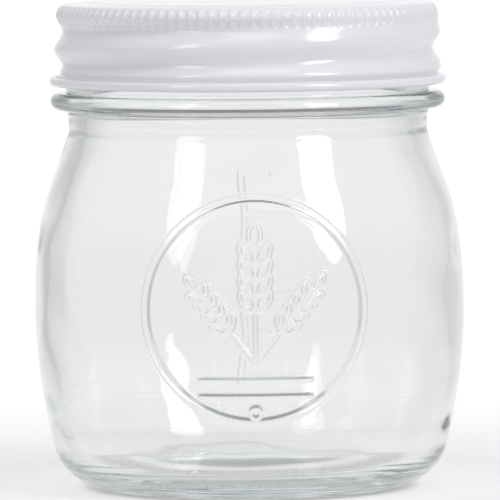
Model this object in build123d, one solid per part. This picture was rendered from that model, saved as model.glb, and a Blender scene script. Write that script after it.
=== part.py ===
"""Sourdough starter jar: a barrel-shaped glass jar with a one-piece metal screw lid and a loose seal disc.

Everything is in millimetres, +Z up, with the origin on the jar's axis at the level of its foot.
-Y is the front, where the round emblem stands; the filling scale is on the back.
The lid turns on a right-hand thread: counterclockwise, seen from above, it rises by one pitch a turn.
"""

import math
import os

from build123d import *

# Glass body
belly_radius = 40.0
belly_height = 33.0  # where the lower curve ends
belly_band = 3.0  # straight stretch at the widest level
lower_curve_radius = 94.0
heel_radius = 10.5
wall = 2.9
floor_thickness = 5.0
inner_heel_radius = 8.0
foot_ring_width = 2.6
push_up = 2.2  # rise of the underside inside the foot ring
shoulder_pull_share = 0.5  # of the shoulder's height, how far it keeps the belly's upright direction
neck_pull_share = 0.36  # how far it keeps its own lean below the neck
neck_spread_share = 0.55  # of the step from neck to belly, the lean's outward part

# Glass neck and mouth
rim_height = 88.75
neck_depth = 22.15  # from the rim down to where the shoulder meets the neck
neck_radius = 33.25
neck_flare = 0.3  # the neck widens this much up to the collar
neck_wall = 3.2
collar_depth = 16.65  # from the rim down to the collar bead's middle
collar_width = 3.4  # out from the neck
collar_bead_radius = 1.75
collar_cove = 0.7
finish_step = 0.45  # the wall above the collar stands out this much from the neck
rim_round = 1.2

# Screw thread, shared by glass and lid
thread_pitch = 6.0
glass_ridge_share = 0.15  # ridge section radius, of the pitch
glass_ridge_sink_share = 0.75  # of the ridge's radius, the part that stands in the glass
glass_thread_start = -20.0  # degrees from +X
glass_thread_turns = 1.33
lid_groove_share = 0.43  # groove section radius, of the pitch
lid_thread_start = 150.0
lid_thread_turns = 1.36
lid_thread_rise = 2.4  # from the curl's centre to the first groove
thread_drop = 0.2  # how far the glass ridge sits below the middle of its gap
bead_clearance = 0.4  # from the glass wall to the lid's inward bead

# Lid
sheet = 0.3
crown_gap = 1.6  # from the glass wall to the outside of the crown
crown_corner = 2.2
crown_height = 4.6  # from the skirt to the lid's top
skirt_width = 0.65  # out from the crown
skirt_step = 0.6  # height of the slopes between crown, skirt and curl
rib_count = 114
rib_foot = 0.05  # the ribs stand on a low band
rib_depth = 0.2
rib_height = 4.0
rib_top = 0.5  # below the lid's top
panel_margin = 6.8  # in from the crown
panel_rise = 0.35
panel_slope = 1.2
curl_bead_radius = 0.85
curl_overhang = 0.2  # past the collar
curl_gap = 1.1  # above the collar
curl_open = 60.0  # degrees left open where the curl comes back to the skirt

# Seal disc
seal_thickness = 1.1
seal_clearance = 0.15

# Raised marks on the glass
relief = 0.5
stroke = 1.3
fine_stroke = 0.7
emblem_level_share = 0.5345  # of the neck's height
emblem_radius = 21.0
emblem_reach = 20.45  # half the border's width, which is round when laid flat
ear_foot = 9.6  # below the emblem's middle
ear_length = 17.0
ear_pairs = 4
stem_length = 9.0
grain_length = 5.6
grain_width = 2.9
grain_end_stroke = 1.05
grain_lean = 32.0  # degrees from the stem
side_ear_length = 13.6
side_ear_lean = 38.0
line_width = 20.0
line_count = 2
line_drop = 12.6
line_step = 3.0
dot_radius = 1.3
dot_drop = 18.6
scale_low_share = 0.2553  # of the neck's height
scale_step_share = 0.1201
tick_count = 6
tick_length = 9.0
tick_width = 1.1
short_tick_share = 0.55

# Cutting tools reach past the surfaces that they cut
overrun = 5.0

# Levels and radii that follow from the sizes above
neck_height = rim_height - neck_depth
collar_height = rim_height - collar_depth
collar_radius = neck_radius + collar_width
mouth_radius = neck_radius - neck_wall
finish_radius = neck_radius + finish_step
emblem_height = emblem_level_share * neck_height
scale_low = scale_low_share * neck_height
scale_step = scale_step_share * neck_height
crown_radius = finish_radius + crown_gap
skirt_radius = crown_radius + skirt_width
panel_radius = crown_radius - panel_margin
lid_top = rim_height + seal_thickness + sheet
crown_low = lid_top - crown_height
curl_radius = collar_radius + curl_overhang
curl_height = collar_height + collar_bead_radius + curl_gap + curl_bead_radius
curl_wall_radius = curl_radius - 2 * curl_bead_radius + sheet
lid_groove_radius = lid_groove_share * thread_pitch
lid_groove_path = finish_radius + bead_clearance + sheet + lid_groove_radius
lid_thread_height = curl_height + lid_thread_rise
glass_ridge_radius = glass_ridge_share * thread_pitch
glass_ridge_path = finish_radius + glass_ridge_radius * (1 - glass_ridge_sink_share)
thread_lag = (glass_thread_start - lid_thread_start) / 360 + 1 / 2  # turns from groove to ridge
glass_thread_height = lid_thread_height + thread_pitch * thread_lag - thread_drop


def polar(centre, radius, degrees):
    """The point at this angle on a circle, in the section plane."""
    angle = math.radians(degrees)
    return (centre[0] + radius * math.cos(angle), centre[1] + radius * math.sin(angle))


def arc(centre, radius, start, end):
    """A circular arc through its middle, in the section plane."""
    middle = (start + end) / 2
    return ThreePointArc(
        polar(centre, radius, start), polar(centre, radius, middle), polar(centre, radius, end)
    )


def turned(edges):
    """The solid that a closed section outline makes round the jar's axis."""
    return revolve(Plane.XZ * make_face(Curve() + edges), Axis.Z)


class SideCurve:
    """Section of the barrel from its flat floor to its neck, moved out by grow."""

    def __init__(self, grow, floor, heel, neck):
        lower = lower_curve_radius + grow
        belly = belly_radius + grow
        lower_centre = (belly_radius - lower_curve_radius, belly_height)
        drop = belly_height - floor - heel
        reach = math.sqrt((lower - heel) ** 2 - drop**2)
        heel_centre = (lower_centre[0] + reach, floor + heel)
        touch = math.degrees(math.atan2(-drop, reach))
        top = (belly, belly_height + belly_band)
        shoulder = neck_height - top[1]
        leaning = (neck + neck_spread_share * (belly - neck), neck_height - neck_pull_share * shoulder)
        self.foot = (heel_centre[0], floor)
        self.end = (neck, neck_height)
        self.edges = [
            arc(heel_centre, heel, -90, touch),
            arc(lower_centre, lower, touch, 0),
            Line((belly, belly_height), top),
            Bezier(top, (belly, top[1] + shoulder_pull_share * shoulder), leaning, self.end),
        ]


def barrel(grow):
    """Solid barrel up to the neck, which gives the raised marks their curved faces."""
    side = SideCurve(grow, -grow, heel_radius, neck_radius + grow)
    bottom = (0, -grow)
    top = (0, neck_height)
    return turned([Line(bottom, side.foot)] + side.edges + [Line(side.end, top), Line(top, bottom)])


def helix_rod(rod_radius, path_radius, start_height, start_angle, turns):
    """A round rod along the thread's helix, with rounded ends."""
    path = Helix(thread_pitch, thread_pitch * turns, path_radius)
    rod = sweep(Plane(path @ 0, z_dir=path % 0) * Circle(rod_radius), path, is_frenet=True)
    for end in (path @ 0, path @ 1):
        rod += Pos(*end) * Sphere(rod_radius)
    return Pos(0, 0, start_height) * Rot(0, 0, start_angle) * rod


def underside():
    """Foot ring and the shallow dome inside it, from the middle out."""
    foot = SideCurve(0, 0, heel_radius, neck_radius).foot
    ring = (foot[0] - foot_ring_width, 0)
    dome_radius = (ring[0] ** 2 + push_up**2) / (2 * push_up)
    dome_centre = (0, push_up - dome_radius)
    dome_edge = math.degrees(math.acos(ring[0] / dome_radius))
    return [arc(dome_centre, dome_radius, 90, dome_edge), Line(ring, foot)]


def collar(start):
    """From the shoulder's end over the flared neck and the cove round the collar bead."""
    bead_middle = (collar_radius - collar_bead_radius, collar_height)
    bead_low = collar_height - collar_bead_radius
    cove_middle = (neck_radius + neck_flare + collar_cove, bead_low - collar_cove)
    return [
        Line(start, (cove_middle[0] - collar_cove, cove_middle[1])),
        arc(cove_middle, collar_cove, 180, 90),
        Line((cove_middle[0], bead_low), (bead_middle[0], bead_low)),
        arc(bead_middle, collar_bead_radius, -90, 90),
    ]


def finish(end):
    """From the collar bead up the threaded wall, over the rim and down the mouth."""
    low = (collar_radius - collar_bead_radius, collar_height + collar_bead_radius)
    rim_low = rim_height - rim_round
    outer_round = finish_radius - rim_round
    inner_round = mouth_radius + rim_round
    return [
        Line(low, (finish_radius, low[1])),
        Line((finish_radius, low[1]), (finish_radius, rim_low)),
        arc((outer_round, rim_low), rim_round, 0, 90),
        Line((outer_round, rim_height), (inner_round, rim_height)),
        arc((inner_round, rim_low), rim_round, 90, 180),
        Line((mouth_radius, rim_low), end),
    ]


def vessel():
    """Plain glass without its thread and raised marks."""
    outer = SideCurve(0, 0, heel_radius, neck_radius)
    inner = SideCurve(-wall, floor_thickness, inner_heel_radius, mouth_radius)
    floor = (0, floor_thickness)
    edges = underside() + outer.edges + collar(outer.end) + finish(inner.end) + inner.edges
    return turned(edges + [Line(inner.foot, floor), Line(floor, (0, push_up))])


def grain(length, width):
    """A pointed oval standing on the origin."""
    foot = (0, 0)
    tip = (0, length)
    right = ThreePointArc(foot, (width / 2, length / 2), tip)
    left = ThreePointArc(tip, (-width / 2, length / 2), foot)
    return make_face(Curve() + [right, left])


def grain_outline(size):
    """One grain drawn as a raised line round a bare middle."""
    hollow_length = size * grain_length - 2 * grain_end_stroke
    hollow_width = size * grain_width - 2 * fine_stroke
    hollow = Pos(0, grain_end_stroke) * grain(hollow_length, hollow_width)
    return grain(size * grain_length, size * grain_width) - hollow


def wheat_ear(length):
    """Stem with pairs of leaning grains and one at the tip, standing on the origin."""
    size = length / ear_length
    stem = size * stem_length
    step = (length - size * grain_length) / ear_pairs
    tip = stem + ear_pairs * step
    rod = tip + fine_stroke
    drawing = Pos(0, rod / 2) * Rectangle(fine_stroke, rod)
    drawing += Pos(0, tip) * grain_outline(size)
    for pair in range(ear_pairs):
        for side in (-1, 1):
            place = Pos(0, stem + pair * step) * Rot(0, 0, side * grain_lean)
            drawing += place * grain_outline(size)
    return drawing


def ring(radius, width):
    return Circle(radius) - Circle(radius - width)


def emblem():
    """Round raised border with three ears of wheat, plain lines and a small ring."""
    foot = Pos(0, -ear_foot)
    border = Ellipse(emblem_reach, emblem_radius) - Ellipse(emblem_reach - stroke, emblem_radius - stroke)
    drawing = border + foot * wheat_ear(ear_length)
    for side in (-1, 1):
        drawing += foot * Rot(0, 0, side * side_ear_lean) * wheat_ear(side_ear_length)
    for line in range(line_count):
        drawing += Pos(0, -line_drop - line * line_step) * Rectangle(line_width, fine_stroke)
    drawing += Pos(0, -dot_drop) * ring(dot_radius, fine_stroke)
    return Pos(0, emblem_height) * drawing


def filling_scale():
    """Upright line with level marks, long and short by turns."""
    height = scale_step * (tick_count - 1)
    drawing = Pos(0, scale_low + height / 2) * Rectangle(tick_width, height + tick_width)
    for tick in range(tick_count):
        length = tick_length * (short_tick_share if tick % 2 else 1)
        drawing += Pos(length / 2, scale_low + tick * scale_step) * Rectangle(length, tick_width)
    return drawing


def glass_jar():
    raised_skin = barrel(relief) - barrel(-wall / 2)
    reach = belly_radius + overrun
    ridge = helix_rod(
        glass_ridge_radius, glass_ridge_path, glass_thread_height, glass_thread_start, glass_thread_turns
    )
    jar = vessel() + (extrude(Plane.XZ * emblem(), reach) & raised_skin)
    jar += extrude(Plane.XZ * filling_scale(), -reach) & raised_skin
    return jar + ridge


def lid_form(inward):
    """Solid bounded by the lid's smooth surface moved inward, down to the curl's middle."""
    corner = crown_corner - inward
    crown = crown_radius - inward
    skirt = skirt_radius - inward
    curl_wall = curl_wall_radius - inward
    skirt_low = curl_height + curl_bead_radius + skirt_step
    corner_middle = (crown - corner, lid_top - crown_corner)
    centre = (0, lid_top - inward + panel_rise)
    top = Polyline(
        centre,
        (panel_radius, centre[1]),
        (panel_radius + panel_slope, lid_top - inward),
        (corner_middle[0], lid_top - inward),
    )
    side = Polyline(
        (crown, corner_middle[1]),
        (crown, crown_low + skirt_step),
        (skirt, crown_low),
        (skirt, skirt_low),
        (curl_wall, skirt_low - skirt_step),
        (curl_wall, curl_height),
        (0, curl_height),
        centre,
    )
    return turned([top, arc(corner_middle, corner, 90, 0), side])


def ribs():
    """Ring of rounded upright grip ribs round the crown."""
    step = 360 / rib_count
    valley = crown_radius + rib_foot
    crest = valley + rib_depth
    middle = (0, 0)
    edges = []
    for rib in range(rib_count):
        foot = polar(middle, valley, rib * step)
        high = polar(middle, crest, (rib + 1 / 2) * step)
        edges.append(ThreePointArc(foot, high, polar(middle, valley, (rib + 1) * step)))
    low = lid_top - rib_top - rib_height
    return Pos(0, 0, low) * extrude(make_face(Curve() + edges), rib_height)


def rib_envelope():
    """Keeps the ribs' upper ends close to the crown's rounded corner."""
    reach = crown_radius + rib_foot + rib_depth
    middle = (crown_radius - crown_corner, lid_top - crown_corner)
    corner = reach - middle[0]
    top = (0, middle[1] + corner)
    return turned(
        [
            Line(top, (middle[0], top[1])),
            arc(middle, corner, 90, 0),
            Polyline((reach, middle[1]), (reach, 0), (0, 0), top),
        ]
    )


def curl():
    """The rolled edge: an open hoop of sheet that comes out and back up to the skirt."""
    middle = (curl_radius - curl_bead_radius, curl_height)
    inside = curl_bead_radius - sheet
    last = 180 - curl_open
    return turned(
        [
            arc(middle, curl_bead_radius, -180, last),
            Line(polar(middle, curl_bead_radius, last), polar(middle, inside, last)),
            arc(middle, inside, last, -180),
            Line(polar(middle, inside, -180), polar(middle, curl_bead_radius, -180)),
        ]
    )


def lid_thread(rod_radius):
    return helix_rod(rod_radius, lid_groove_path, lid_thread_height, lid_thread_start, lid_thread_turns)


def lid_shell():
    outside = lid_form(0) + (ribs() & rib_envelope()) - lid_thread(lid_groove_radius)
    inside = lid_form(sheet) - lid_thread(lid_groove_radius + sheet)
    return outside - inside + curl()


def seal_disc():
    """Foam disc on the rim whose upper edge follows the lid's inner corner."""
    corner = crown_corner - sheet
    middle = (crown_radius - sheet - seal_clearance - corner, lid_top - crown_corner)
    low = math.degrees(math.asin((rim_height - middle[1]) / corner))
    top = (0, rim_height + seal_thickness)
    foot = (0, rim_height)
    return turned(
        [
            Line(top, (middle[0], top[1])),
            arc(middle, corner, 90, low),
            Line(polar(middle, corner, low), foot),
            Line(foot, top),
        ]
    )


os.makedirs("parts", exist_ok=True)
export_step(glass_jar(), "parts/glass_jar.step")
export_step(lid_shell(), "parts/lid_shell.step")
export_step(seal_disc(), "parts/seal_disc.step")
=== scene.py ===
import math

import bpy
import numpy as np
from mathutils import Matrix, Vector, noise


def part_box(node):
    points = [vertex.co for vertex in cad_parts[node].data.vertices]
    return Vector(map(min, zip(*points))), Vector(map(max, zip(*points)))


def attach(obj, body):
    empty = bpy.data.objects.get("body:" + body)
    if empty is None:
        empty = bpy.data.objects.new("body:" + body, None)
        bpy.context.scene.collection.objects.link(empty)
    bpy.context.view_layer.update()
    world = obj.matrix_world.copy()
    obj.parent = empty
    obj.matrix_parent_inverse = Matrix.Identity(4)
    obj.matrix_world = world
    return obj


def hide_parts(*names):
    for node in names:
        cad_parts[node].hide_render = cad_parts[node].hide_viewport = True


# Sourdough starter jar: clear glass jar, white screw lid and the foam disc inside the lid.
# Sizes are in millimetres and angles in degrees, unless a note says otherwise.

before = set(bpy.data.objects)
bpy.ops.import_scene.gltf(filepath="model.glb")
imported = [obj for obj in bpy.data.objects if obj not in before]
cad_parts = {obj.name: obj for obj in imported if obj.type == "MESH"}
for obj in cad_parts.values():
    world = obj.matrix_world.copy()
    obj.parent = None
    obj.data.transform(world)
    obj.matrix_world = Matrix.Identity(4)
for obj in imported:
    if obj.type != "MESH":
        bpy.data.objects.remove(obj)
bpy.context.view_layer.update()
mm = 0.001  # Blender works in metres


def nodeSizes(node):
    low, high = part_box(node)
    return {"radius": high.x / mm, "front": -low.y / mm, "low": low.z / mm, "high": high.z / mm}


glassBox = nodeSizes("glass_jar")
lidBox = nodeSizes("lid_shell")
sealBox = nodeSizes("seal_disc")
print("frame loaded:", sorted(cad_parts))


# Outlines: rows of radius and height, turned about the jar's axis

def arcLine(centre, radius, startAngle, endAngle, steps=24):
    angles = np.radians(np.linspace(startAngle, endAngle, steps + 1))
    return np.column_stack((centre[0] + radius * np.cos(angles), centre[1] + radius * np.sin(angles)))


def bezierLine(corners, steps=48):
    t = np.linspace(0, 1, steps + 1)[:, None]
    first, second, third, last = (np.array(corner) for corner in corners)
    ends = (1 - t) ** 3 * first + t ** 3 * last
    return ends + 3 * (1 - t) ** 2 * t * second + 3 * (1 - t) * t * t * third


def joinLines(*parts):
    line = np.vstack([np.atleast_2d(np.array(part, float)) for part in parts])
    moved = np.linalg.norm(np.diff(line, axis=0), axis=1) > 1e-6
    return line[np.concatenate(([True], moved))]


def stationsAlong(line, spacingAt):  # points at the spacing wanted at each height
    lengths = np.concatenate(([0], np.cumsum(np.linalg.norm(np.diff(line, axis=0), axis=1))))
    places = np.linspace(0, lengths[-1], int(lengths[-1] / 0.02) + 2)
    heights = np.interp(places, lengths, line[:, 1])
    density = 1 / np.array([spacingAt(height) for height in heights])
    counted = np.concatenate(([0], np.cumsum((density[1:] + density[:-1]) / 2 * np.diff(places))))
    wanted = np.linspace(0, counted[-1], max(2, math.ceil(counted[-1]) + 1))
    chosen = np.interp(wanted, counted, places)
    return np.column_stack([np.interp(chosen, lengths, line[:, axis]) for axis in (0, 1)])


def outlineNormals(stations):
    tangent = np.gradient(stations, axis=0)
    tangent /= np.linalg.norm(tangent, axis=1)[:, None]
    return np.column_stack((tangent[:, 1], -tangent[:, 0]))


def smoothStep(low, high, value):
    t = np.clip((value - low) / (high - low), 0, 1)
    return t * t * (3 - 2 * t)


def evenAngles(count):
    return np.arange(count) * 360 / count


# Skins: rings of points about the axis, joined in order from one point on the axis to another

def ringPoints(angles, radius, height):
    turn = np.radians(angles)
    radius = np.broadcast_to(radius, angles.shape)
    height = np.broadcast_to(height, angles.shape)
    return np.column_stack((radius * np.cos(turn), radius * np.sin(turn), height))


def ringsAlong(line, spacingAt, angles, push=None):
    stations = stationsAlong(line, spacingAt)
    rings = []
    for (radius, height), (outward, upward) in zip(stations, outlineNormals(stations)):
        out = 0 if push is None else push(angles, radius, height)
        rings.append((angles, ringPoints(angles, radius + out * outward, height + out * upward)))
    return rings[1:]


def unevenBridge(lowAngles, lowStart, highAngles, highStart):  # two rings with different counts
    lowEnds = np.append(lowAngles[1:], 360)
    highEnds = np.append(highAngles[1:], 360)
    low = high = 0
    beyond = 400  # past the last angle of any ring
    faces = []
    while low < len(lowAngles) or high < len(highAngles):
        lowNext = lowStart + (low + 1) % len(lowAngles)
        highNext = highStart + (high + 1) % len(highAngles)
        lowHere = lowStart + low % len(lowAngles)
        highHere = highStart + high % len(highAngles)
        lowEnd = lowEnds[low] if low < len(lowAngles) else beyond
        highEnd = highEnds[high] if high < len(highAngles) else beyond
        if abs(lowEnd - highEnd) < 1e-6:
            faces.append((lowHere, lowNext, highNext, highHere))
            low += 1
            high += 1
        elif lowEnd < highEnd:
            faces.append((lowHere, lowNext, highHere))
            low += 1
        else:
            faces.append((lowHere, highNext, highHere))
            high += 1
    return faces


def evenBridge(count, lowStart, highStart):
    here = np.arange(count)
    after = (here + 1) % count
    low, high = lowStart + here, highStart + here
    return np.column_stack((low, lowStart + after, highStart + after, high)).tolist()


def makeSkin(name, firstHeight, rings, lastHeight):
    points = [np.array([[0, 0, firstHeight]])]
    starts = []
    total = 1
    for angles, ring in rings:
        starts.append(total)
        points.append(ring)
        total += len(ring)
    points.append(np.array([[0, 0, lastHeight]]))
    faces = []
    firstCount = len(rings[0][0])
    for here in range(firstCount):
        faces.append((0, starts[0] + (here + 1) % firstCount, starts[0] + here))
    for index in range(len(rings) - 1):
        lowAngles, highAngles = rings[index][0], rings[index + 1][0]
        if len(lowAngles) == len(highAngles):
            faces += evenBridge(len(lowAngles), starts[index], starts[index + 1])
        else:
            faces += unevenBridge(lowAngles, starts[index], highAngles, starts[index + 1])
    lastCount = len(rings[-1][0])
    for here in range(lastCount):
        faces.append((starts[-1] + here, starts[-1] + (here + 1) % lastCount, total))
    mesh = bpy.data.meshes.new(name)
    mesh.from_pydata((np.vstack(points) * mm).tolist(), [], faces)
    mesh.polygons.foreach_set("use_smooth", np.ones(len(mesh.polygons), bool))
    mesh.update()
    skin = bpy.data.objects.new(name, mesh)
    bpy.context.scene.collection.objects.link(skin)
    return skin


# Glass jar

glass = {
    "lowerCurve": 94.0,
    "heel": 10.5,
    "innerHeel": 6.5,
    "bellyHeight": 33.0,
    "bellyBand": 3.0,
    "shoulderPull": 0.5,  # shares of the shoulder's height
    "neckPull": 0.36,
    "neckSpread": 0.55,  # share of the step from neck to belly
    "neck": 33.25,
    "neckHeight": 66.6,
    "neckFlare": 0.3,
    "neckWall": 3.2,
    "wall": 2.9,
    "floor": 4.1,
    "floorRise": 1.4,  # the bottom inside is domed like the underside
    "footWidth": 2.6,
    "pushUp": 2.2,
    "collarHeight": 72.1,
    "collar": 36.65,
    "collarBead": 1.55,
    "collarCove": 0.3,
    "finishStep": 0.45,
    "rimRound": 1.2,
    "thread": 0.9,  # section radius of the ridge
    "threadStart": -20.0,
    "threadTurns": 1.33,
    "threadHeight": 78.17,
    "pitch": 6.0,
    "stippleCount": 84,
    "stippleDepth": 0.2,
    "stippleSize": 1.0,
    "heelLines": 0.05,  # fine mould lines round the heel
    "innerLines": 0.035,
    "outerWaves": ((13, 0.11), (5, 0.02)),  # length and depth of the wall's unevenness
    "innerWaves": (11, 0.22),
    "waveLow": 9,
    "waveFade": (4, 6),  # how soon the waves grow above their low end and die below their high end
    "seamHeight": 67.6,
    "seam": 0.12,
    "reliefShare": 0.96,  # of the height that the frame leaves for the marks
    "coarseCount": 120,
    # Spacing of the mesh's rings
    "coarseStep": 1.0,
    "fineStep": 0.24,
    "footSpacing": 0.35,
    "heelSpacing": 0.2,
    "heelTop": 8,
    "collarSpacing": 0.25,
    "threadSpacing": 0.3,
    "insideSpacing": 0.9,
    "insideLowSpacing": 0.3,
    "insideLow": 11,
    "floorSpacing": 0.8,
}
glass["belly"] = glassBox["radius"]
glass["relief"] = glassBox["front"] - glassBox["radius"]
glass["rimHeight"] = glassBox["high"]


def barrelLine(grow, floorHeight, heel, neck):
    lower = glass["lowerCurve"] + grow
    belly = glass["belly"] + grow
    middle = (glass["belly"] - glass["lowerCurve"], glass["bellyHeight"])
    drop = glass["bellyHeight"] - floorHeight - heel
    reach = math.sqrt((lower - heel) ** 2 - drop ** 2)
    heelMiddle = (middle[0] + reach, floorHeight + heel)
    touch = math.degrees(math.atan2(-drop, reach))
    top = (belly, glass["bellyHeight"] + glass["bellyBand"])
    shoulder = glass["neckHeight"] - top[1]
    pulled = (belly, top[1] + glass["shoulderPull"] * shoulder)
    leaning = (
        neck + glass["neckSpread"] * (belly - neck),
        glass["neckHeight"] - glass["neckPull"] * shoulder,
    )
    return joinLines(
        arcLine(heelMiddle, heel, -90, touch),
        arcLine(middle, lower, touch, 0),
        top,
        bezierLine((top, pulled, leaning, (neck, glass["neckHeight"]))),
    )


def domeLine(reach, low, rise):  # level in the middle and at its edge
    radius = np.linspace(0, reach, 41)
    return np.column_stack((radius, low + rise * (1 + np.cos(math.pi * radius / reach)) / 2))


def footLine(footRadius):
    return joinLines(domeLine(footRadius - glass["footWidth"], 0, glass["pushUp"]), (footRadius, 0))


def collarLine():
    bead = glass["collarBead"]
    beadMiddle = (glass["collar"] - bead, glass["collarHeight"])
    cove = glass["collarCove"]
    coveMiddle = (glass["neck"] + glass["neckFlare"] + cove, beadMiddle[1] - bead - cove)
    seam = glass["seamHeight"]
    return joinLines(
        (glass["neck"], glass["neckHeight"]),
        (glass["neck"] + glass["seam"], seam),
        (glass["neck"] + glass["seam"] / 2, seam + 3 * glass["seam"]),
        arcLine(coveMiddle, cove, 180, 90),
        arcLine(beadMiddle, bead, -90, 90),
        (glass["neck"] + glass["finishStep"] + cove / 2, beadMiddle[1] + bead),
    )


def finishLine():
    outer = glass["neck"] + glass["finishStep"]
    mouth = glass["neck"] - glass["neckWall"]
    low = glass["collarHeight"] + glass["collarBead"]
    bend = glass["collarCove"] / 2
    rim = glass["rimRound"]
    rimLow = glass["rimHeight"] - rim
    return joinLines(
        arcLine((outer + bend, low + bend), bend, -90, -180, 6),
        arcLine((outer - rim, rimLow), rim, 0, 90, 12),
        arcLine((mouth + rim, rimLow), rim, 90, 180, 12),
        (mouth, glass["neckHeight"]),
    )


emblem = {
    "height": 35.6,
    "radius": 21.0,
    "reach": 20.45,  # half its width: it is round when laid flat
    "stroke": 1.3,
    "fineStroke": 0.7,
    "softEdge": 0.35,
    "earFoot": 9.6,
    "ear": 17.0,
    "sideEar": 13.6,
    "sideLean": 38.0,
    "pairs": 4,
    "stem": 9.0,
    "grain": 5.6,
    "grainWidth": 2.9,
    "grainEnd": 1.05,
    "grainLean": 32.0,
    "lineWidth": 20.0,
    "lineDrop": 12.6,
    "lineStep": 3.0,
    "lines": 2,
    "dot": 1.3,
    "dotDrop": 18.6,
    "margin": 0.8,  # fine mesh above and below it
}
scaleMarks = {
    "low": 17.0,
    "step": 8.0,
    "ticks": 6,
    "length": 9.0,
    "shortShare": 0.55,
    "stroke": 1.1,
    "softEdge": 0.9,
    "height": 0.75,  # share of the emblem's height
    "margin": 2.0,  # degrees of fine mesh past the upright
}


def toLineEnds(x, y, start, end):  # distance to a straight stroke
    along = np.array(end, float) - np.array(start, float)
    share = np.clip(((x - start[0]) * along[0] + (y - start[1]) * along[1]) / (along @ along), 0, 1)
    return np.hypot(x - start[0] - share * along[0], y - start[1] - share * along[1])


def toGrain(x, y, length, width):  # distance to a pointed oval standing on the origin
    half, bulge = length / 2, width / 2
    radius = (half ** 2 + bulge ** 2) / (2 * bulge)
    offset = radius - bulge
    ends = np.minimum(np.hypot(x, y), np.hypot(x, y - length))
    best = ends
    for side in (-1, 1):
        across = side * x + offset
        up = y - half
        onArc = np.abs(up) * offset <= half * across
        distance = np.abs(np.hypot(across, up) - radius)
        best = np.where(onArc, np.minimum(best, distance), best)
    return best


def turnedInto(x, y, foot, lean):
    turn = math.radians(lean)
    right, up = x - foot[0], y - foot[1]
    return right * math.cos(turn) + up * math.sin(turn), -right * math.sin(turn) + up * math.cos(turn)


def toEar(x, y, length):
    size = length / emblem["ear"]
    stem = size * emblem["stem"]
    step = (length - size * emblem["grain"]) / emblem["pairs"]
    tip = stem + emblem["pairs"] * step
    long = size * emblem["grain"] - emblem["grainEnd"]
    wide = size * emblem["grainWidth"] - emblem["fineStroke"]
    gap = emblem["grainEnd"] / 2
    best = toLineEnds(x, y, (0, 0), (0, tip + gap))
    best = np.minimum(best, toGrain(x, y - tip - gap, long, wide))
    for pair in range(emblem["pairs"]):
        for side in (-1, 1):
            right, up = turnedInto(x, y, (0, stem + pair * step), side * emblem["grainLean"])
            best = np.minimum(best, toGrain(right, up - gap, long, wide))
    return best


def raised(distance, stroke, edge=emblem["softEdge"]):
    return smoothStep(0, 1, (stroke / 2 + edge / 2 - distance) / edge)


def emblemRelief(x, height):
    y = height - emblem["height"]
    fine = emblem["fineStroke"]
    fromMiddle = np.hypot(x * emblem["radius"] / emblem["reach"], y)
    border = np.abs(fromMiddle - emblem["radius"] + emblem["stroke"] / 2)
    best = raised(border, emblem["stroke"])
    lines = toEar(x, y + emblem["earFoot"], emblem["ear"])
    for side in (-1, 1):
        right, up = turnedInto(x, y, (0, -emblem["earFoot"]), side * emblem["sideLean"])
        lines = np.minimum(lines, toEar(right, up, emblem["sideEar"]))
    half = emblem["lineWidth"] / 2
    for line in range(emblem["lines"]):
        level = -emblem["lineDrop"] - line * emblem["lineStep"]
        lines = np.minimum(lines, toLineEnds(x, y, (-half, level), (half, level)))
    dot = np.abs(np.hypot(x, y + emblem["dotDrop"]) - emblem["dot"] + fine / 2)
    return np.maximum(best, raised(np.minimum(lines, dot), fine))


def scaleRelief(x, height):
    top = scaleMarks["low"] + scaleMarks["step"] * (scaleMarks["ticks"] - 1)
    best = toLineEnds(x, height, (0, scaleMarks["low"]), (0, top))
    for tick in range(scaleMarks["ticks"]):
        level = scaleMarks["low"] + tick * scaleMarks["step"]
        length = scaleMarks["length"] * (scaleMarks["shortShare"] if tick % 2 else 1)
        best = np.minimum(best, toLineEnds(x, height, (0, level), (length, level)))
    return scaleMarks["height"] * raised(best, scaleMarks["stroke"], scaleMarks["softEdge"])


def bodyPush(angles, radius, height):
    x = radius * np.cos(np.radians(angles))
    front = np.sin(np.radians(angles)) < 0
    marks = np.where(front, emblemRelief(x, height), scaleRelief(x, height))
    return glass["relief"] * glass["reliefShare"] * marks


def threadPush(angles, radius, height):
    best = np.zeros(angles.shape)
    rise = glass["pitch"] / 360
    end = glass["threadStart"] + 360 * glass["threadTurns"]
    for turn in range(-1, 3):
        along = angles + 360 * turn
        over = np.maximum(0, np.maximum(glass["threadStart"] - along, along - end))
        nearest = np.clip(along, glass["threadStart"], end)
        away = np.hypot(height - glass["threadHeight"] - rise * (nearest - glass["threadStart"]),
                        np.radians(over) * radius)
        best = np.maximum(best, np.sqrt(np.maximum(0, glass["thread"] ** 2 - away ** 2)))
    return best


def ripple(points, size):
    return np.array([noise.noise(Vector(point) / size) for point in points])


# Uneven, as blown glass is; sunk 1 keeps the waves inside the first outline
def rippleRings(rings, size, amount, fadeLow, fadeHigh, sunk=0):
    shifted = []
    for angles, points in rings:
        fade = smoothStep(0, glass["waveFade"][0], points[:, 2] - fadeLow)
        fade = fade * smoothStep(0, glass["waveFade"][1], fadeHigh - points[:, 2])
        out = 1 + amount * (ripple(points, size) - sunk) * fade / np.hypot(points[:, 0], points[:, 1])
        shifted.append((angles, points * np.column_stack((out, out, np.ones(len(out))))))
    return shifted


def stipplePush(angles, radius, height):  # a row of dimples round the foot ring
    pitch = 360 / glass["stippleCount"]
    across = np.radians((angles + pitch / 2) % pitch - pitch / 2) * radius
    away = np.hypot(across, radius - glass["foot"] + glass["footWidth"] / 2)
    return -glass["stippleDepth"] * smoothStep(glass["stippleSize"] / 2, 0, away)


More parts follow.
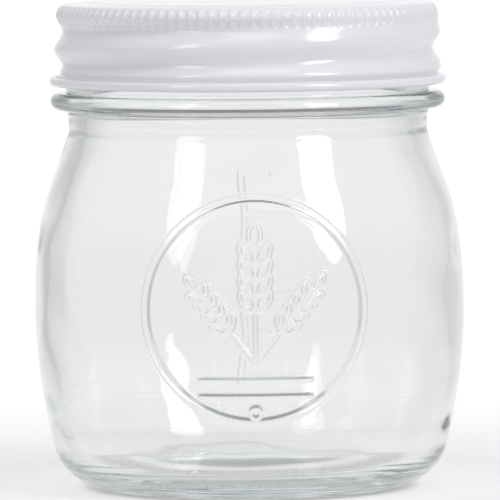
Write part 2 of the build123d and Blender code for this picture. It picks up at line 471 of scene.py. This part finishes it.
mouldLines = {
    "heelRate": 4.2,  # radians of wave in a millimetre
    "heelSway": 0.6,
    "heelSways": 3,  # round the jar
    "fineRate": 9.5,
    "fineShare": 0.7,
    "heelRise": (0.2, 1.0),  # heights between which the lines grow, then fade
    "heelFade": (5.5, 3.0),
    "innerRate": 3.6,
    "innerSway": 0.8,
    "innerSways": 2,
    "innerFade": (7.5, 4.5),
}


def heelPush(angles, radius, height):  # lines round the heel, sunk into the outline
    sway = mouldLines["heelSway"] * np.sin(np.radians(angles) * mouldLines["heelSways"])
    fine = mouldLines["fineShare"]
    lines = np.sin(mouldLines["heelRate"] * height + sway)
    lines = lines + fine * np.sin(mouldLines["fineRate"] * height + 1)
    fade = smoothStep(*mouldLines["heelRise"], height) * smoothStep(*mouldLines["heelFade"], height)
    return -glass["heelLines"] * (1 + fine + lines) / 2 * fade


def innerPush(angles, radius, height):
    sway = mouldLines["innerSway"] * np.sin(np.radians(angles) * mouldLines["innerSways"])
    lines = np.sin(mouldLines["innerRate"] * (radius + height) + sway)
    return glass["innerLines"] * lines * smoothStep(*mouldLines["innerFade"], height)


def buildGlassJar():
    outer = barrelLine(0, 0, glass["heel"], glass["neck"])
    mouth = glass["neck"] - glass["neckWall"]
    inner = barrelLine(-glass["wall"], glass["floor"], glass["innerHeel"], mouth)
    glass["foot"] = outer[0][0]
    coarse = evenAngles(glass["coarseCount"])
    stipple = evenAngles(6 * glass["stippleCount"])
    fineTurn = math.degrees(glass["fineStep"] / glass["belly"])
    reach = math.degrees(math.asin((emblem["radius"] + 1) / glass["belly"]))
    backReach = math.degrees(math.asin((scaleMarks["length"] + 1) / glass["belly"]))
    zones = ((270 - reach, 270 + reach), (90 - backReach, 90 + scaleMarks["margin"]))
    keep = np.ones(len(coarse), bool)
    fine = []
    for low, high in zones:
        keep &= (coarse < low - 1) | (coarse > high + 1)
        fine.append(np.linspace(low, high, math.ceil((high - low) / fineTurn)))
    fineAngles = np.sort(np.concatenate([coarse[keep]] + fine))
    fineLow = emblem["height"] - emblem["radius"] - emblem["margin"]
    fineHigh = emblem["height"] + emblem["radius"] + emblem["margin"]

    under = footLine(glass["foot"])
    ringInner = glass["foot"] - glass["footWidth"]
    domeEnd = int(np.argmin(np.abs(under[:, 0] - ringInner)))
    rings = ringsAlong(under[:domeEnd], lambda height: glass["coarseStep"], coarse)
    footBand = joinLines(under[domeEnd - 1:], outer[:2])
    rings += ringsAlong(footBand, lambda height: glass["footSpacing"], stipple, stipplePush)

    def bodyStep(height):
        if height < glass["heelTop"]:
            return glass["heelSpacing"]
        return glass["fineStep"] if fineLow < height < fineHigh else glass["coarseStep"]

    body = stationsAlong(outer[1:], bodyStep)
    normals = outlineNormals(body)
    outside = []
    for low, high, angles, push in (
        (-1, glass["heelTop"], coarse, heelPush),
        (glass["heelTop"], fineLow, coarse, None),
        (fineLow, fineHigh, fineAngles, bodyPush),
        (fineHigh, glass["rimHeight"], coarse, None),
    ):
        for (radius, height), (outward, upward) in list(zip(body, normals))[1:]:
            if low < height <= high:
                out = 0 if push is None else push(angles, radius, height)
                ring = ringPoints(angles, radius + out * outward, height + out * upward)
                outside.append((angles, ring))
    for size, depth in glass["outerWaves"]:
        outside = rippleRings(outside, size, depth, glass["waveLow"], glass["neckHeight"], 1)
    rings += outside
    rings += ringsAlong(collarLine(), lambda height: glass["collarSpacing"], coarse)
    rings += ringsAlong(finishLine(), lambda height: glass["threadSpacing"], coarse, threadPush)

    def insideStep(height):
        return glass["insideLowSpacing"] if height < glass["insideLow"] else glass["insideSpacing"]

    insideRings = ringsAlong(inner[::-1], insideStep, coarse, innerPush)
    rings += rippleRings(insideRings, *glass["innerWaves"], glass["floor"] + 2, glass["neckHeight"])
    floorLine = domeLine(inner[0][0], glass["floor"], glass["floorRise"])[:0:-1]
    rings += ringsAlong(floorLine, lambda height: glass["floorSpacing"], coarse)
    jar = makeSkin("glassJar", glass["pushUp"], rings, glass["floor"] + glass["floorRise"])
    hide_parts("glass_jar")
    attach(jar, "jar")
    return jar


# Screw lid

lid = {
    "sheet": 0.3,
    "crown": 35.45,
    "corner": 2.2,
    "skirt": 35.95,
    "lowSkirt": 35.45,
    "grooveDepth": 1.5,
    "grooveReach": 2.95,
    "grooveStart": 150.0,
    "grooveEnd": 640.0,
    "grooveFade": 28.0,
    "grooveHeight": 78.2,
    "grooveRound": 0.1,  # share of its reach that is round at the bottom
    "crownBend": (84.1, 86.7),  # heights between which the side narrows to the crown
    "skirtBend": (77.9, 76.9),
    "flutes": 114,
    "fluteWidth": 1.6,
    "fluteSlope": 0.36,
    "fluteDepth": 0.24,
    "fluteLow": 87.1,  # height of the round lower ends' middles
    "fluteFade": (0.12, 0.75),  # below the top
    "panel": 28.5,
    "panelRise": 0.35,
    "panelSlope": 1.2,
    "curl": 0.85,
    "curlOpen": 60.0,
    "fluteSamples": 10,
    "sideCount": 228,
    "curlJoint": 1.0,  # above the curl's middle
    "sideStart": 1.2,
    # Spacing of the mesh's rings
    "panelSpacing": 0.8,
    "insideSpacing": 0.3,
    "curlSpacing": 0.16,
    "sideSpacing": 0.22,
    "fluteSpacing": 0.18,
    "cornerSpacing": 0.16,
    "topSpacing": 0.5,
}
lid["curlRadius"] = lidBox["radius"]
lid["curlHeight"] = lidBox["low"] + lid["curl"]
lid["top"] = lidBox["high"] - lid["panelRise"]
lid["pitch"] = glass["pitch"]


def lidBase(height):  # side of the lid without its thread
    crown = smoothStep(*lid["crownBend"], height)
    low = smoothStep(*lid["skirtBend"], height)
    return lid["skirt"] + crown * (lid["crown"] - lid["skirt"]) + low * (lid["lowSkirt"] - lid["skirt"])


def grooveDepth(angles, height):
    best = np.zeros(angles.shape)
    rise = lid["pitch"] / 360
    for turn in range(0, 3):
        along = angles + 360 * turn
        middle = lid["grooveHeight"] + rise * (along - lid["grooveStart"])
        start, end, blend = lid["grooveStart"], lid["grooveEnd"], lid["grooveFade"]
        fade = smoothStep(start - blend, start + blend, along)
        fade = fade * smoothStep(end + blend, end - blend, along)
        away = (height - middle) / lid["grooveReach"]
        share = np.clip(np.hypot(away, lid["grooveRound"]) - lid["grooveRound"], 0, 1)
        shape = 1 - np.sin(share * math.pi / 2) / 2 - (1 - np.cos(share * math.pi)) / 4
        best = np.maximum(best, fade * shape)
    return lid["grooveDepth"] * best


def fluteDepth(angles, radius, height):
    pitch = 360 / lid["flutes"]
    across = np.radians((angles + pitch / 2) % pitch - pitch / 2) * radius
    along = np.minimum(0, height - lid["fluteLow"])
    away = np.hypot(across, along)
    shape = smoothStep(lid["fluteWidth"] / 2, lid["fluteWidth"] / 2 - lid["fluteSlope"], away)
    high, low = lid["fluteFade"]
    return lid["fluteDepth"] * shape * smoothStep(lid["top"] - high, lid["top"] - low, height)


def cornerLine():
    middle = (lid["crown"] - lid["corner"], lid["top"] - lid["corner"])
    return arcLine(middle, lid["corner"], 0, 90, 24)


def sideRing(angles, height, inward):
    radius = lidBase(height) - grooveDepth(angles, height) - inward
    return angles, ringPoints(angles, radius, height)


def curlLine():
    middle = (lid["curlRadius"] - lid["curl"], lid["curlHeight"])
    last = 180 - lid["curlOpen"]
    hollow = lid["curl"] - lid["sheet"]
    lip = np.radians(last)
    lipMiddle = (middle[0] + (hollow + lid["sheet"] / 2) * math.cos(lip),
                 middle[1] + (hollow + lid["sheet"] / 2) * math.sin(lip))
    return joinLines(
        arcLine(middle, lid["curl"], -180, last, 40),
        arcLine(lipMiddle, lid["sheet"] / 2, last, last + 180, 6),
        arcLine(middle, hollow, last, -180, 40),
    )


def buildLid():
    sheet = lid["sheet"]
    side = evenAngles(lid["sideCount"])
    flute = evenAngles(lid["flutes"] * lid["fluteSamples"])
    ceiling = lid["top"] - sheet
    cornerLow = lid["top"] - lid["corner"]
    skirtLow = lid["curlHeight"]
    panelEdge = lid["panel"] - sheet
    inside = joinLines(
        (1, ceiling + lid["panelRise"]),
        (panelEdge, ceiling + lid["panelRise"]),
        (panelEdge + lid["panelSlope"], ceiling),
        arcLine((lid["crown"] - lid["corner"], cornerLow), lid["corner"] - sheet, 90, 0, 12),
    )
    rings = ringsAlong(inside, lambda height: lid["panelSpacing"], side)
    spacing = lid["insideSpacing"]
    jointHeight = skirtLow + lid["curlJoint"]
    sideLow = skirtLow + lid["sideStart"]
    for height in np.arange(cornerLow - spacing, sideLow, -spacing):
        rings.append(sideRing(side, height, sheet))
    curl = curlLine()
    curlRound = joinLines((curl[0][0], jointHeight), curl, (curl[-1][0], jointHeight))
    rings += ringsAlong(curlRound, lambda height: lid["curlSpacing"], side)
    for height in np.arange(sideLow, lid["fluteLow"] - lid["fluteWidth"], lid["sideSpacing"]):
        rings.append(sideRing(side, height, 0))
    fluteStart = rings[-1][1][0][2] + lid["fluteSpacing"]
    for height in np.arange(fluteStart, cornerLow, lid["fluteSpacing"]):
        angles, points = sideRing(flute, height, 0)
        radius = np.hypot(points[:, 0], points[:, 1]) - fluteDepth(angles, lid["crown"], height)
        rings.append((angles, ringPoints(angles, radius, height)))

    def cornerPush(angles, radius, height):
        groove = grooveDepth(angles, height) * smoothStep(lid["top"], cornerLow, height)
        return -fluteDepth(angles, radius, height) - groove

    rings += ringsAlong(cornerLine(), lambda height: lid["cornerSpacing"], flute, cornerPush)
    landLine = joinLines(
        (lid["crown"] - lid["corner"], lid["top"]),
        (lid["panel"] + lid["panelSlope"] + 0.6, lid["top"]),
        bezierLine((
            (lid["panel"] + lid["panelSlope"] + 0.5, lid["top"]),
            (lid["panel"] + lid["panelSlope"] / 2, lid["top"]),
            (lid["panel"] + lid["panelSlope"] / 2, lid["top"] + lid["panelRise"]),
            (lid["panel"], lid["top"] + lid["panelRise"]),
        ), 10),
        (1, lid["top"] + lid["panelRise"]),
    )
    rings += ringsAlong(landLine, lambda height: lid["topSpacing"], side)
    shell = makeSkin("lidShell", ceiling + lid["panelRise"], rings, lid["top"] + lid["panelRise"])
    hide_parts("lid_shell")
    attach(shell, "lid")
    return shell


# Seal disc

seal = {"edge": 0.25, "count": 180, "spacing": 0.6}


def buildSeal():
    radius, low, high = sealBox["radius"], sealBox["low"], sealBox["high"]
    edge = seal["edge"]
    line = joinLines(
        (1, low),
        arcLine((radius - edge, low + edge), edge, -90, 0, 6),
        arcLine((radius - 3 * edge, high - 3 * edge), 3 * edge, 0, 90, 8),
        (1, high),
    )
    rings = ringsAlong(line, lambda height: seal["spacing"], evenAngles(seal["count"]))
    disc = makeSkin("sealDisc", low, rings, high)
    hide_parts("seal_disc")
    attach(disc, "seal")
    return disc


# Materials

def newMaterial(name):
    material = bpy.data.materials.new(name)
    material.use_nodes = True
    nodes = material.node_tree.nodes
    return material, nodes, material.node_tree.links, nodes["Principled BSDF"]


def noiseNode(nodes, links, scale, detail):
    place = nodes.new("ShaderNodeTexCoord")
    cloud = nodes.new("ShaderNodeTexNoise")
    cloud.inputs["Scale"].default_value = scale
    cloud.inputs["Detail"].default_value = detail
    links.new(place.outputs["Object"], cloud.inputs["Vector"])
    return cloud


def rangeNode(nodes, links, source, low, high, start=0.3, end=0.7):
    spread = nodes.new("ShaderNodeMapRange")
    spread.inputs["From Min"].default_value = start
    spread.inputs["From Max"].default_value = end
    spread.inputs["To Min"].default_value = low
    spread.inputs["To Max"].default_value = high
    links.new(source, spread.inputs["Value"])
    return spread.outputs["Result"]


def bumpNode(nodes, links, source, distance, strength):
    bump = nodes.new("ShaderNodeBump")
    bump.inputs["Distance"].default_value = distance
    bump.inputs["Strength"].default_value = strength
    links.new(source, bump.inputs["Height"])
    return bump.outputs["Normal"]


clearGlass = {
    "colour": (0.985, 0.99, 0.995, 1),
    "ior": 1.52,
    "absorb": (0.86, 0.90, 0.90, 1),
    "density": 25.0,  # per metre
    "smudgeScale": 35,
    "smudge": 0.02,  # roughness of the smudged places
    "waveScale": 60.0,
    "waveHeight": 0.00003,  # metres
}


def clearGlassMaterial():
    material, nodes, links, shader = newMaterial("clearGlass")
    shader.inputs["Base Color"].default_value = clearGlass["colour"]
    shader.inputs["Transmission Weight"].default_value = 1
    shader.inputs["IOR"].default_value = clearGlass["ior"]
    smudges = noiseNode(nodes, links, clearGlass["smudgeScale"], 3)
    rough = rangeNode(nodes, links, smudges.outputs["Fac"], 0.0, clearGlass["smudge"], 0.45, 0.8)
    links.new(rough, shader.inputs["Roughness"])
    waves = noiseNode(nodes, links, clearGlass["waveScale"], 1)
    bump = bumpNode(nodes, links, waves.outputs["Fac"], clearGlass["waveHeight"], 1)
    links.new(bump, shader.inputs["Normal"])
    absorb = nodes.new("ShaderNodeVolumeAbsorption")
    absorb.inputs["Color"].default_value = clearGlass["absorb"]
    absorb.inputs["Density"].default_value = clearGlass["density"]
    links.new(absorb.outputs["Volume"], nodes["Material Output"].inputs["Volume"])
    return material


lacquer = {
    "light": (0.86, 0.845, 0.905, 1),
    "deep": (0.845, 0.83, 0.89, 1),
    "gloss": 0.16,
    "dull": 0.22,
    "coat": 0.5,
    "coatRoughness": 0.08,
    "cloudScale": 45,
    "peelScale": 900.0,
    "peelHeight": 0.000012,
}


def lacquerMaterial():
    material, nodes, links, shader = newMaterial("whiteLacquer")
    cloud = noiseNode(nodes, links, lacquer["cloudScale"], 4)
    ramp = nodes.new("ShaderNodeValToRGB")
    ramp.color_ramp.elements[0].color = lacquer["deep"]
    ramp.color_ramp.elements[1].color = lacquer["light"]
    ramp.color_ramp.elements[0].position = 0.3
    ramp.color_ramp.elements[1].position = 0.6
    links.new(cloud.outputs["Fac"], ramp.inputs["Fac"])
    links.new(ramp.outputs["Color"], shader.inputs["Base Color"])
    rough = rangeNode(nodes, links, cloud.outputs["Fac"], lacquer["gloss"], lacquer["dull"])
    links.new(rough, shader.inputs["Roughness"])
    shader.inputs["Coat Weight"].default_value = lacquer["coat"]
    shader.inputs["Coat Roughness"].default_value = lacquer["coatRoughness"]
    peel = noiseNode(nodes, links, lacquer["peelScale"], 2)
    bump = bumpNode(nodes, links, peel.outputs["Fac"], lacquer["peelHeight"], 1)
    links.new(bump, shader.inputs["Normal"])
    return material


foam = {
    "light": (0.93, 0.93, 0.91, 1),
    "deep": (0.84, 0.84, 0.82, 1),
    "paintedGlow": 0.32,  # painted glow: the seal shines by itself, which brightens its shaded underside
    "roughness": 0.75,
    "cellScale": 1400.0,
    "cellDepth": 0.00006,
}


def foamMaterial():
    material, nodes, links, shader = newMaterial("sealFoam")
    place = nodes.new("ShaderNodeTexCoord")
    cells = nodes.new("ShaderNodeTexVoronoi")
    cells.inputs["Scale"].default_value = foam["cellScale"]
    links.new(place.outputs["Object"], cells.inputs["Vector"])
    ramp = nodes.new("ShaderNodeValToRGB")
    ramp.color_ramp.elements[0].color = foam["light"]
    ramp.color_ramp.elements[1].color = foam["deep"]
    links.new(cells.outputs["Distance"], ramp.inputs["Fac"])
    links.new(ramp.outputs["Color"], shader.inputs["Base Color"])
    # painted glow: the seal shines in its own colour to lift its shaded underside
    links.new(ramp.outputs["Color"], shader.inputs["Emission Color"])
    shader.inputs["Emission Strength"].default_value = foam["paintedGlow"]
    shader.inputs["Roughness"].default_value = foam["roughness"]
    bump = bumpNode(nodes, links, cells.outputs["Distance"], foam["cellDepth"], 0.8)
    links.new(bump, shader.inputs["Normal"])
    return material


def dress(piece, material):
    piece.data.materials.clear()
    piece.data.materials.append(material)


# Studio

studio = {
    "floorRadius": 220.0,
    "floorRings": (50.0, 120.0),
    "floorSides": 96,
    "floorFade": 55.0,
    "floorColour": (0.42, 0.42, 0.425, 1),
    # Radius and strength of the floor's painted glow: the floor shines by itself, with painted shadows
    # under the middle of the jar and where its foot stands
    "floorPaintedLightAndShadow": (
        (0, 0.12), (16, 0.12), (19, 0.6), (22, 0.6),
        (24, 0.32), (28, 0.32), (32, 0.62), (60, 0.5),
    ),
    "seenLevel": 1.05,
    "backLevel": 0.94,
    "leftLevel": 0.56,
    "rightLevel": 0.67,
    "frontLevel": 0.33,
    "groundLevel": 0.95,
    "topLevel": 0.72,
    "boxAim": (0, 0, 0.05),
    "leftBox": {"turn": -42, "away": 1.4, "width": 0.40, "height": 1.3, "middle": 0.80, "level": 2.8},
    "rightBox": {"turn": 45, "away": 1.4, "width": 0.52, "height": 1.3, "middle": 0.80, "level": 5.0},
    "topBox": {"turn": 10, "away": 0.45, "width": 0.9, "height": 0.5, "middle": 1.35, "level": 1.2},
}


def floorMaterial():
    material, nodes, links, shader = newMaterial("paleFloor")
    grain = noiseNode(nodes, links, 3, 2)
    ramp = nodes.new("ShaderNodeValToRGB")
    pale = studio["floorColour"]
    ramp.color_ramp.elements[0].color = (pale[0] - 0.01, pale[1] - 0.01, pale[2] - 0.01, 1)
    ramp.color_ramp.elements[1].color = pale
    links.new(grain.outputs["Fac"], ramp.inputs["Fac"])
    links.new(ramp.outputs["Color"], shader.inputs["Base Color"])
    shader.inputs["Emission Color"].default_value = (1, 1, 1, 1)
    shader.inputs["Roughness"].default_value = 0.9
    shader.inputs["Specular IOR Level"].default_value = 0.1
    place = nodes.new("ShaderNodeTexCoord")
    distance = nodes.new("ShaderNodeVectorMath")
    distance.operation = "LENGTH"
    links.new(place.outputs["Object"], distance.inputs["Vector"])
    fade = rangeNode(nodes, links, distance.outputs["Value"], 1, 0,
                     studio["floorFade"] * mm, studio["floorRadius"] * mm * 0.98)
    links.new(fade, shader.inputs["Alpha"])
    # painted light: emission strength set by distance from the middle, low under the middle of the jar
    # and under its foot, which paints shadows there
    paintedGlow = nodes.new("ShaderNodeValToRGB")
    last = studio["floorPaintedLightAndShadow"][-1][0]
    links.new(rangeNode(nodes, links, distance.outputs["Value"], 0, 1, 0, last * mm), paintedGlow.inputs["Fac"])
    stops = paintedGlow.color_ramp.elements
    for number, (radius, strength) in enumerate(studio["floorPaintedLightAndShadow"]):
        stop = stops[number] if number < 2 else stops.new(radius / last)
        stop.position = radius / last
        stop.color = (strength, strength, strength, 1)
    links.new(paintedGlow.outputs["Color"], shader.inputs["Emission Strength"])
    return material


def buildFloor():
    sides = studio["floorSides"]
    radii = studio["floorRings"] + (studio["floorRadius"],)
    points = [np.array([[0, 0, 0]])] + [ringPoints(evenAngles(sides), radius, 0) for radius in radii]
    faces = [(0, 1 + here, 1 + (here + 1) % sides) for here in range(sides)]
    for index in range(len(radii) - 1):
        faces += evenBridge(sides, 1 + sides * (index + 1), 1 + sides * index)
    mesh = bpy.data.meshes.new("floor")
    mesh.from_pydata((np.vstack(points) * mm).tolist(), [], faces)
    floor = bpy.data.objects.new("floor", mesh)
    bpy.context.scene.collection.objects.link(floor)
    dress(floor, floorMaterial())


def buildWorld():
    world = bpy.data.worlds.new("studioWorld")
    bpy.context.scene.world = world
    world.use_nodes = True
    nodes, links = world.node_tree.nodes, world.node_tree.links
    background = nodes["Background"]
    place = nodes.new("ShaderNodeTexCoord")
    axes = nodes.new("ShaderNodeSeparateXYZ")
    links.new(place.outputs["Generated"], axes.inputs["Vector"])
    left, back = studio["leftLevel"], studio["backLevel"]
    level = rangeNode(nodes, links, axes.outputs["X"], left, back, -0.5, -0.15)
    path = nodes.new("ShaderNodeLightPath")
    # Each share says how far a direction leans to that side of the room
    for share, other in (
        (rangeNode(nodes, links, axes.outputs["X"], 0, 1, 0.15, 0.5), studio["rightLevel"]),
        (rangeNode(nodes, links, axes.outputs["Y"], 1, 0, -0.3, 0.5), studio["frontLevel"]),
        (rangeNode(nodes, links, axes.outputs["Z"], 0, 1, 0.45, 0.8), studio["topLevel"]),
        (rangeNode(nodes, links, axes.outputs["Z"], 1, 0, -0.45, -0.15), studio["groundLevel"]),
        (path.outputs["Is Camera Ray"], studio["seenLevel"]),
    ):
        mix = nodes.new("ShaderNodeMix")
        links.new(share, mix.inputs["Factor"])
        links.new(level, mix.inputs["A"])
        mix.inputs["B"].default_value = other
        level = mix.outputs["Result"]
    links.new(level, background.inputs["Strength"])
    background.inputs["Color"].default_value = (1, 1, 1, 1)


def buildSoftbox(name, box):
    light = bpy.data.lights.new(name, "AREA")
    light.shape = "ELLIPSE"
    light.size = box["width"]
    light.size_y = box["height"]
    light.energy = box["level"] * math.pi ** 2 / 4 * box["width"] * box["height"]
    holder = bpy.data.objects.new(name, light)
    turn = math.radians(box["turn"])
    holder.location = (math.sin(turn) * box["away"], -math.cos(turn) * box["away"], box["middle"])
    aim = Vector(studio["boxAim"]) - holder.location
    holder.rotation_euler = aim.to_track_quat("-Z", "Y").to_euler()
    bpy.context.scene.collection.objects.link(holder)


camera = {
    "away": 1.300,  # metres from the jar's axis
    "height": 0.1315,
    "turn": -1.5,
    "aim": (0.0, 0.0, 0.0435),
    "roll": 0.5,
    "lens": 504.0,
    "sensor": 36,
    "shiftX": 0.002,
    "shiftY": 0.0052,
}


def buildCamera():
    data = bpy.data.cameras.new("camera")
    data.lens = camera["lens"]
    data.sensor_width = camera["sensor"]
    data.shift_x = camera["shiftX"]
    data.shift_y = camera["shiftY"]
    data.clip_start = 0.05
    data.clip_end = 50
    holder = bpy.data.objects.new("camera", data)
    turn = math.radians(camera["turn"])
    away = camera["away"]
    holder.location = (math.sin(turn) * away, -math.cos(turn) * away, camera["height"])
    look = (Vector(camera["aim"]) - holder.location).to_track_quat("-Z", "Y").to_matrix().to_4x4()
    roll = Matrix.Rotation(math.radians(-camera["roll"]), 4, "Z")
    holder.matrix_world = Matrix.Translation(holder.location) @ look @ roll
    bpy.context.scene.collection.objects.link(holder)
    bpy.context.scene.camera = holder


dress(buildGlassJar(), clearGlassMaterial())
print("glass jar built")
dress(buildLid(), lacquerMaterial())
print("lid built")
dress(buildSeal(), foamMaterial())
print("seal built")
buildFloor()
buildWorld()
for boxName in ("leftBox", "rightBox", "topBox"):
    buildSoftbox(boxName, studio[boxName])
buildCamera()
bounces = 40  # light runs a long way inside the thick glass
bpy.context.scene.view_settings.view_transform = "Standard"
bpy.context.scene.cycles.max_bounces = bounces
bpy.context.scene.cycles.transmission_bounces = bounces
bpy.context.scene.cycles.glossy_bounces = bounces
print("studio set")
